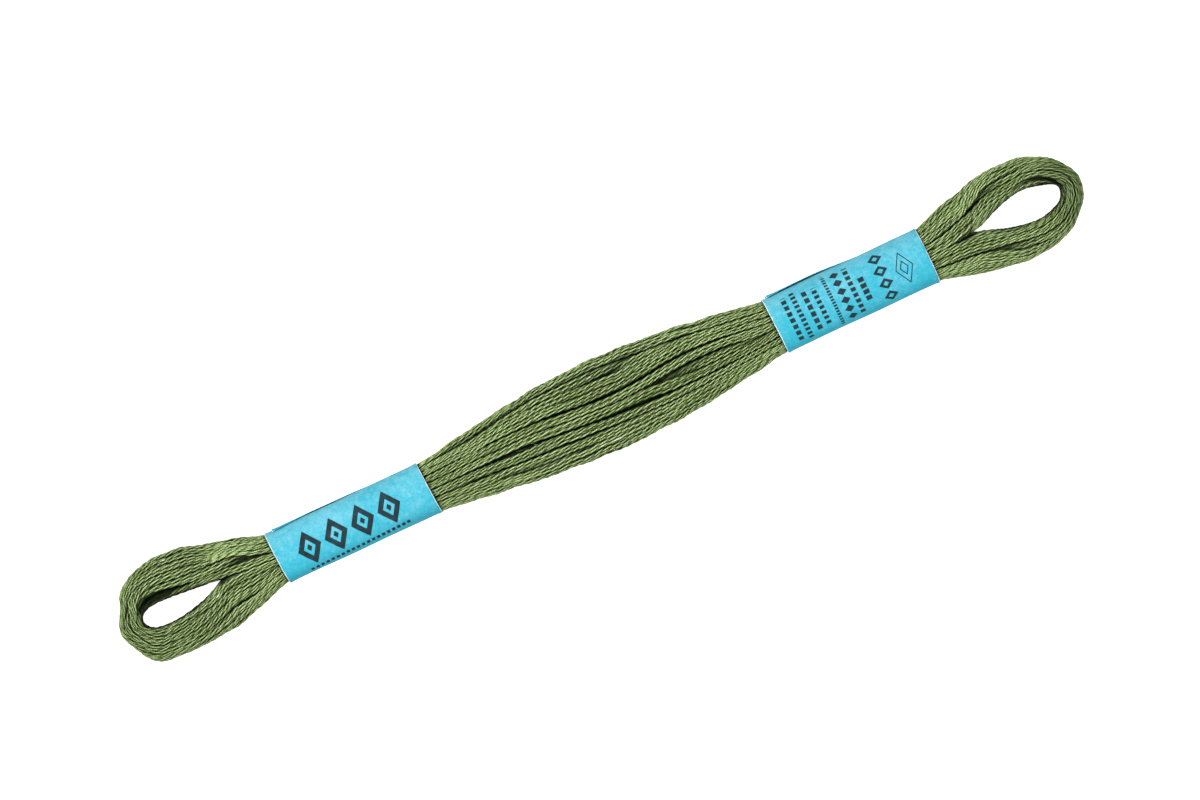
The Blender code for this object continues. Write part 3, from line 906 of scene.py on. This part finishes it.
def add_bump(tree, shader, height, strength, distance):
    """Lets a value raise the surface."""
    bump = add_node(tree, "ShaderNodeBump", {"Strength": strength, "Distance": distance, "Height": height})
    tree.links.new(bump.outputs["Normal"], shader.inputs["Normal"])


CREST_MIDDLE = 0.68  # the crest's value kept where the painted highlight and groove shade grow or fade


def cotton_material():
    """Two-ply cotton with painted light ply backs, dark grooves and tube shade, and fibres that run along
    them.
    """
    made, tree, shader = blank_material(
        "cotton floss",
        Roughness=0.72,
        Sheen_Weight=0.04,
        Sheen_Roughness=0.45,
        Sheen_Tint=(0.80, 0.90, 0.55, 1.0),
        Specular_IOR_Level=0.06,
    )
    along, around = uv_of(tree)
    tone = attribute(tree, "tone")
    streaks = noise(tree, place_of(tree, along, 0.55, around, 9.0), 1.6, 3.0, 0.6)
    patches = noise(tree, add_node(tree, "ShaderNodeTexCoord").outputs["Object"], 170.0, 2.0)
    # The painted highlight on the ply backs and shade in the grooves grow and fade at random along each
    # strand.
    painted_contrast_noise = noise(tree, place_of(tree, along, 0.17, tone, 40.0), 1.0, 1.0)
    painted_contrast = reckon(tree, "MULTIPLY_ADD", painted_contrast_noise, 2.6, -0.2)
    from_middle = reckon(tree, "SUBTRACT", attribute(tree, "crest"), CREST_MIDDLE)
    crest = reckon(tree, "MULTIPLY_ADD", from_middle, painted_contrast, CREST_MIDDLE)
    light = -0.595
    for value, weight in ((crest, 1.02), (streaks, 0.76), (tone, 0.26), (patches, 0.26)):
        light = reckon(tree, "MULTIPLY_ADD", value, weight, light)
    stops = (
        (0.10, (0.018, 0.035, 0.005)),
        (0.43, (0.105, 0.165, 0.037)),
        (0.72, (0.206, 0.298, 0.088)),
        (1.0, (0.430, 0.560, 0.255)),
    )
    # The tubes' painted shade darkens the colour towards near black.
    shaded = mixed(tree, attribute(tree, "shade"), colour_ramp(tree, light, stops), (0.005, 0.011, 0.002))
    tree.links.new(shaded, shader.inputs["Base Color"])
    add_bump(tree, shader, streaks, 0.6, 0.00006)
    return made


# ---- The paper bands ----

PAPER = 0.09  # thickness
PAPER_GAP = 0.03  # between the lap and the paper beneath
LAP_START = radians(-50)  # the paper's hidden end, from the +Y side up
LAP_RISE, BULGE_REACH = radians(12), radians(26)  # angles over which the lap rises, and bulges
LIFT, LIFT_SHARE = 0.07, 0.035  # how far the lap's free edge stands off, over this share of the wrap
FLARE, FLARE_LENGTH = 0.07, 1.2  # how far the cut ends stand off, over this length
WAVE_HEIGHT = 0.028
WAVES = ((2, 0.7), (3, -1.1), (5, 1.6), (7, -2.3))  # in the paper: how many go round it, and how each tilts
BAND_FLAT = 0.2  # how far the underside is pressed flat
BAND_POWER = 2.35  # of the superellipse that a band follows
LEAN_TURNS = -9.0  # distance round from the top where the lean of a band's +X end turns back
ACROSS_STEPS, ALONG_STEPS = 132, 30
CROWDING = 0.12  # how much closer the steps along a band lie near its ends


def sheet_section(sheet, angle):
    """The band's outer line at these angles, as Y and Z: an oval pressed flat where it rests."""
    across, up = (np.sign(part) * np.abs(part) ** (2 / BAND_POWER) for part in (np.cos(angle), np.sin(angle)))
    half_height = sheet.height / 2
    return sheet.middle + sheet.width / 2 * across, half_height - BAND_FLAT + half_height * up


def off_the_section(sheet, share_along, share, angle):
    """How far the paper stands off its section: at the lap and its edge, its bulge, the ends and in waves."""
    random = np.random.default_rng(int(abs(sheet.start)))
    overlapped = smooth((angle - (2 * pi + LAP_START - LAP_RISE)) / LAP_RISE)
    off = overlapped * (PAPER + PAPER_GAP) + LIFT * smooth((share - 1 + LIFT_SHARE) / LIFT_SHARE)
    bulge = sheet.bulge_start + (sheet.bulge_end - sheet.bulge_start) * share_along
    off = off + bulge * smooth(1 - np.abs(angle - 2 * pi) / BULGE_REACH)
    to_end = np.minimum(share_along, 1 - share_along) * (sheet.end - sheet.start)
    off = off + FLARE * (1 - smooth(to_end / FLARE_LENGTH))
    waves = 0
    for turns, tilt in WAVES:
        size, phase = random.uniform(0.3, 1), random.uniform(0, 2 * pi)
        waves = waves + size * np.sin(turns * angle + tilt * 2 * pi * share_along + phase)
    return off + WAVE_HEIGHT * waves


def make_band(sheet, materials):
    """A strip of paper wrapped once round the hank, its free edge lapped over its start on the +Y side."""
    share_along = np.linspace(0, 1, ALONG_STEPS + 1)[:, None]
    share_along = share_along - CROWDING * np.sin(2 * pi * share_along) / (2 * pi) * 4
    lap_end = 2 * pi + np.radians(sheet.lap_start + (sheet.lap_end - sheet.lap_start) * share_along)
    share = np.linspace(0, 1, ACROSS_STEPS + 1)[None]
    angle = LAP_START + (lap_end - LAP_START) * share
    off = off_the_section(sheet, share_along, share, angle)
    y, z = sheet_section(sheet, angle)
    nudge = 1e-3
    y_next, z_next = sheet_section(sheet, angle + nudge)
    slope = np.stack([y_next - y, z_next - z])
    slope /= np.linalg.norm(slope, axis=0)
    y, z = y + off * slope[1], np.maximum(z - off * slope[0], 0.0)
    step = np.hypot(np.diff(y, axis=1), np.diff(z, axis=1))
    length = np.concatenate([np.zeros((ALONG_STEPS + 1, 1)), np.cumsum(step, axis=1)], axis=1)
    top = np.array([np.interp(pi / 2, angles, lengths) for angles, lengths in zip(angle, length)])
    from_top = top[:, None] - length
    x_start = sheet.start - sheet.start_lean * from_top
    end_way = np.where(from_top > LEAN_TURNS, from_top, 1.9 * LEAN_TURNS - 0.9 * from_top)
    x = x_start + (sheet.end - sheet.end_lean * end_way - x_start) * share_along
    along = (sheet.end - sheet.start) * np.broadcast_to(share_along, x.shape)
    flat = np.stack([along, from_top], axis=2)
    mesh = mesh_of_grids(f"{sheet.name}_paper", [np.stack([x, y, z], axis=2)], [flat])
    for material in materials:
        mesh.materials.append(material)
    mesh.shade_smooth()
    piece = put_in_scene(mesh.name, mesh)
    wall = piece.modifiers.new("paper thickness", "SOLIDIFY")
    wall.thickness = PAPER * MM
    wall.offset = -1.0
    wall.material_offset = wall.material_offset_rim = 1
    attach(piece, "root")
    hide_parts(sheet.name)


MARK_INPUTS = ("Half Height", "Centre", "Half Row", "Pitch", "Half Mark", "Pointed", "Hole", "Core")


def mark_row_group():
    """A shader group: a row of equal printed marks, square or pointed, with 1 where there is ink."""
    group = bpy.data.node_groups.new("printed row of marks", "ShaderNodeTree")
    face = group.interface
    for name in ("Across", "Along", "Place", *MARK_INPUTS):
        face.new_socket(name, in_out="INPUT", socket_type="NodeSocketFloat")
    face.new_socket("Ink", in_out="OUTPUT", socket_type="NodeSocketFloat")
    source = group.nodes.new("NodeGroupInput").outputs

    def of(operation, *values):
        return reckon(group, operation, *values)

    from_centre = of("SUBTRACT", source["Along"], source["Centre"])
    from_place = of("ABSOLUTE", of("SUBTRACT", source["Across"], source["Place"]))
    high = of("DIVIDE", from_place, source["Half Height"])
    cell = of("DIVIDE", of("ADD", from_centre, source["Half Row"]), source["Pitch"])
    in_cell = of("ABSOLUTE", of("SUBTRACT", of("FRACT", cell), 0.5))
    wide = of("DIVIDE", of("MULTIPLY", in_cell, source["Pitch"]), source["Half Mark"])
    square = of("MAXIMUM", high, wide)
    pointed = of("ADD", high, wide)
    reach = of("MULTIPLY_ADD", of("SUBTRACT", pointed, square), source["Pointed"], square)
    in_mark = of("SUBTRACT", of("LESS_THAN", reach, 1.0), of("LESS_THAN", reach, source["Hole"]))
    in_mark = of("ADD", in_mark, of("LESS_THAN", reach, source["Core"]))
    in_row = of("LESS_THAN", of("ABSOLUTE", from_centre), source["Half Row"])
    sink = group.nodes.new("NodeGroupOutput")
    group.links.new(of("MULTIPLY", in_mark, in_row), sink.inputs["Ink"])
    return group


# A row of marks: where it lies; what MARK_INPUTS names, in that order, with the hole in each mark and its
# core as shares of the mark; whether the row runs along the band; and how it tilts.
MARKS_NAMES = "place half_height centre half_row pitch half_mark pointed hole core along_band tilt"
Marks = namedtuple("Marks", MARKS_NAMES, defaults=(0.0, 0.0, 0.0, False, 0.0))
LEFT_PRINT = (
    Marks(-0.35, 2.95, 12.66, 9.46, 4.73, 2.05, 1.0, 0.50, 0.22, True, 0.035),
    Marks(-4.15, 0.35, 12.9, 9.0, 0.9, 0.28, 0.0, 0.0, 0.0, True, 0.035),
)
RIGHT_PRINT = (
    Marks(2.9, 0.42, -0.2, 4.0, 1.1, 0.36),
    Marks(4.5, 0.42, -0.2, 4.4, 0.8, 0.24),
    Marks(6.35, 0.42, -0.2, 3.6, 1.2, 0.42),
    Marks(8.0, 0.42, -0.2, 3.3, 0.9, 0.26),
    Marks(10.05, 0.30, -0.2, 4.6, 0.5, 0.16),
    Marks(11.95, 0.85, -0.2, 4.5, 1.5, 0.62, pointed=1.0),
    Marks(13.75, 0.42, -0.2, 4.2, 1.0, 0.32),
    Marks(15.5, 0.5, -0.6, 2.1, 1.05, 0.38),
    Marks(18.9, 1.25, -0.2, 4.4, 2.2, 0.95, pointed=1.0, hole=0.42),
    Marks(22.6, 1.55, -0.2, 2.9, 5.8, 2.75, pointed=1.0, hole=0.88),
    Marks(22.6, 0.75, -0.2, 1.4, 2.8, 1.3, pointed=1.0, hole=0.74),
)
CUT_EDGE, EDGE_WEAR = 0.10, 0.22  # how far in from its ends a band's cut edge shows white, and how ragged
INK, CUT_WHITE = (0.005, 0.013, 0.018), (0.62, 0.80, 0.86)
CORE_MIDDLE = 13.4  # half the bands' width, about which the lap's edge shows its painted shadow colour


def printed_ink(tree, group, rows, along, around):
    """1 where one of these rows of marks has ink."""
    ink = 0.0
    for row in rows:
        across_band = reckon(tree, "MULTIPLY_ADD", along, -row.tilt, around)
        inputs = {
            "Across": across_band if row.along_band else along,
            "Along": along if row.along_band else around,
            "Place": row.place - row.tilt * row.centre,
        }
        inputs |= zip(MARK_INPUTS, row[1:9])
        marks = add_node(tree, "ShaderNodeGroup", inputs, node_tree=group)
        ink = reckon(tree, "MAXIMUM", marks.outputs["Ink"], ink)
    return ink


def paper_material(name, group, rows, length):
    """Light blue paper with a faint mottle and white cut ends, printed in black with rows of plain marks."""
    made, tree, shader = blank_material(name, Specular_IOR_Level=0.32)
    along, around = uv_of(tree)
    ink = printed_ink(tree, group, rows, along, around)
    place = add_node(tree, "ShaderNodeTexCoord").outputs["Object"]
    grain = noise(tree, place, 2600.0, 2.0, 0.6)
    mottle = noise(tree, place, 900.0, 3.0, 0.6)
    clouds = noise(tree, place, 160.0, 2.0)
    level = -0.80
    # Going round from the top, the +Y side paler and the paper further round deeper: painted light and shade.
    for value, weight in ((mottle, 1.10), (clouds, 0.50), (grain, 0.90), (around, 0.050)):
        level = reckon(tree, "MULTIPLY_ADD", value, weight, level)
    stops = (
        (0.15, (0.010, 0.330, 0.445)),
        (0.40, (0.036, 0.350, 0.462)),
        (0.55, (0.064, 0.374, 0.480)),
        (0.90, (0.126, 0.430, 0.530)),
    )
    solid = reckon(tree, "MULTIPLY", ink, reckon(tree, "MULTIPLY_ADD", mottle, -0.16, 1.05))
    printed = mixed(tree, solid, colour_ramp(tree, level, stops), INK)
    from_end = reckon(tree, "MINIMUM", along, reckon(tree, "SUBTRACT", length, along))
    ragged = reckon(tree, "MULTIPLY_ADD", mottle, EDGE_WEAR, CUT_EDGE - EDGE_WEAR / 2)
    edged = mixed(tree, reckon(tree, "LESS_THAN", from_end, ragged), printed, CUT_WHITE)
    tree.links.new(edged, shader.inputs["Base Color"])
    tree.links.new(reckon(tree, "MULTIPLY_ADD", solid, 0.25, 0.62), shader.inputs["Roughness"])
    add_bump(tree, shader, mottle, 0.25, 0.00004)
    return made


def core_material(name, lap_shadow_colour):
    """The paper's back and cut edges: white at the band's ends, and along its lap a dark painted shadow line.
    """
    made, tree, shader = blank_material(name, Roughness=0.8, Specular_IOR_Level=0.3)
    along, _ = uv_of(tree)
    from_middle = reckon(tree, "ABSOLUTE", reckon(tree, "SUBTRACT", along, CORE_MIDDLE))
    share = reckon(tree, "MULTIPLY_ADD", from_middle, 0.5, -6.0)
    colour = colour_ramp(tree, share, ((0.35, lap_shadow_colour), (0.62, (0.70, 0.80, 0.83))))
    tree.links.new(colour, shader.inputs["Base Color"])
    return made


def make_bands():
    """Both bands, each with its printed paper and its paper's core."""
    group = mark_row_group()
    # Each lap colour paints a shadow line along the lap's free edge: dark on the left band, faint on the
    # right.
    for sheet, side, rows, lap_shadow_colour in (
        (SHEETS[0], "left", LEFT_PRINT, (0.01, 0.21, 0.31)),
        (SHEETS[1], "right", RIGHT_PRINT, (0.10, 0.45, 0.56)),
    ):
        paper = paper_material(f"printed paper {side}", group, rows, sheet.end - sheet.start)
        make_band(sheet, (paper, core_material(f"paper core {side}", lap_shadow_colour)))


# ---- Stage, light and camera ----

VIEW_TURN = radians(25.04)  # of the photo about the vertical
CAMERA_PLACE = (0.32 * MM, 0.67 * MM, 1004 * MM)
FOCAL_LENGTH, SENSOR_WIDTH = 187.4, 36.0
FLOOR_HALF = 1.5  # in metres
# Lights: place, size and power
LIGHTS = (
    ("key", (-0.36, 0.44, 0.75), 0.30, 8.2),
    ("overhead", (0.0, 0.0, 1.4), 1.3, 8.6),
    ("fill", (0.15, -0.60, 0.55), 0.50, 3.4),
)
WORLD_LIGHT, WORLD_SEEN = 0.30, 1.0  # the world's brightness, for the skein and as the camera sees it


def make_floor():
    """A plain white floor, bright by itself so that the skein casts hardly any shadow on it."""
    made, tree, shader = blank_material(
        "white floor", Base_Color=(0.45, 0.45, 0.45, 1.0), Roughness=0.9, Emission_Color=(1.0, 1.0, 1.0, 1.0)
    )
    seen = add_node(tree, "ShaderNodeLightPath").outputs["Is Camera Ray"]
    tree.links.new(seen, shader.inputs["Emission Strength"])
    shape = bmesh.new()
    bmesh.ops.create_grid(shape, x_segments=1, y_segments=1, size=FLOOR_HALF)
    mesh = bpy.data.meshes.new("floor")
    shape.to_mesh(mesh)
    shape.free()
    mesh.materials.append(made)
    put_in_scene("floor", mesh)


def make_camera():
    """The camera, straight above the skein and turned as in the photo."""
    data = bpy.data.cameras.new("camera")
    data.lens = FOCAL_LENGTH
    data.sensor_width = SENSOR_WIDTH
    data.clip_start = 0.01
    camera = put_in_scene("camera", data)
    camera.location = CAMERA_PLACE
    camera.rotation_euler = (0, 0, -VIEW_TURN)
    bpy.context.scene.camera = camera


def make_lights():
    """Soft round lights that point at the skein, and an even white world."""
    for name, place, size, energy in LIGHTS:
        data = bpy.data.lights.new(name, "AREA")
        data.shape = "DISK"
        data.size = size
        data.energy = energy
        light = put_in_scene(name, data)
        light.location = place
        light.rotation_euler = (-Vector(place)).to_track_quat("-Z", "Y").to_euler()
    world = bpy.data.worlds.new("world")
    world.use_nodes = True
    tree = world.node_tree
    seen = add_node(tree, "ShaderNodeLightPath").outputs["Is Camera Ray"]
    strength = reckon(tree, "MULTIPLY_ADD", seen, WORLD_SEEN - WORLD_LIGHT, WORLD_LIGHT)
    tree.nodes["Background"].inputs["Color"].default_value = (1.0, 1.0, 1.0, 1.0)
    tree.links.new(strength, tree.nodes["Background"].inputs["Strength"])
    bpy.context.scene.world = world
    bpy.context.scene.view_settings.view_transform = "Standard"


laid, strand_radius = laid_strands()
cotton = cotton_material()
make_floss(laid, strand_radius, cotton)
make_bands()
tube_piece("stray_fibres", stray_fibres(laid, strand_radius), cotton)
pale, _, _ = blank_material("pale lint", Base_Color=(0.80, 0.84, 0.76, 1.0), Roughness=0.6)
tube_piece("lint", lint(laid), pale)
make_floor()
make_camera()
make_lights()
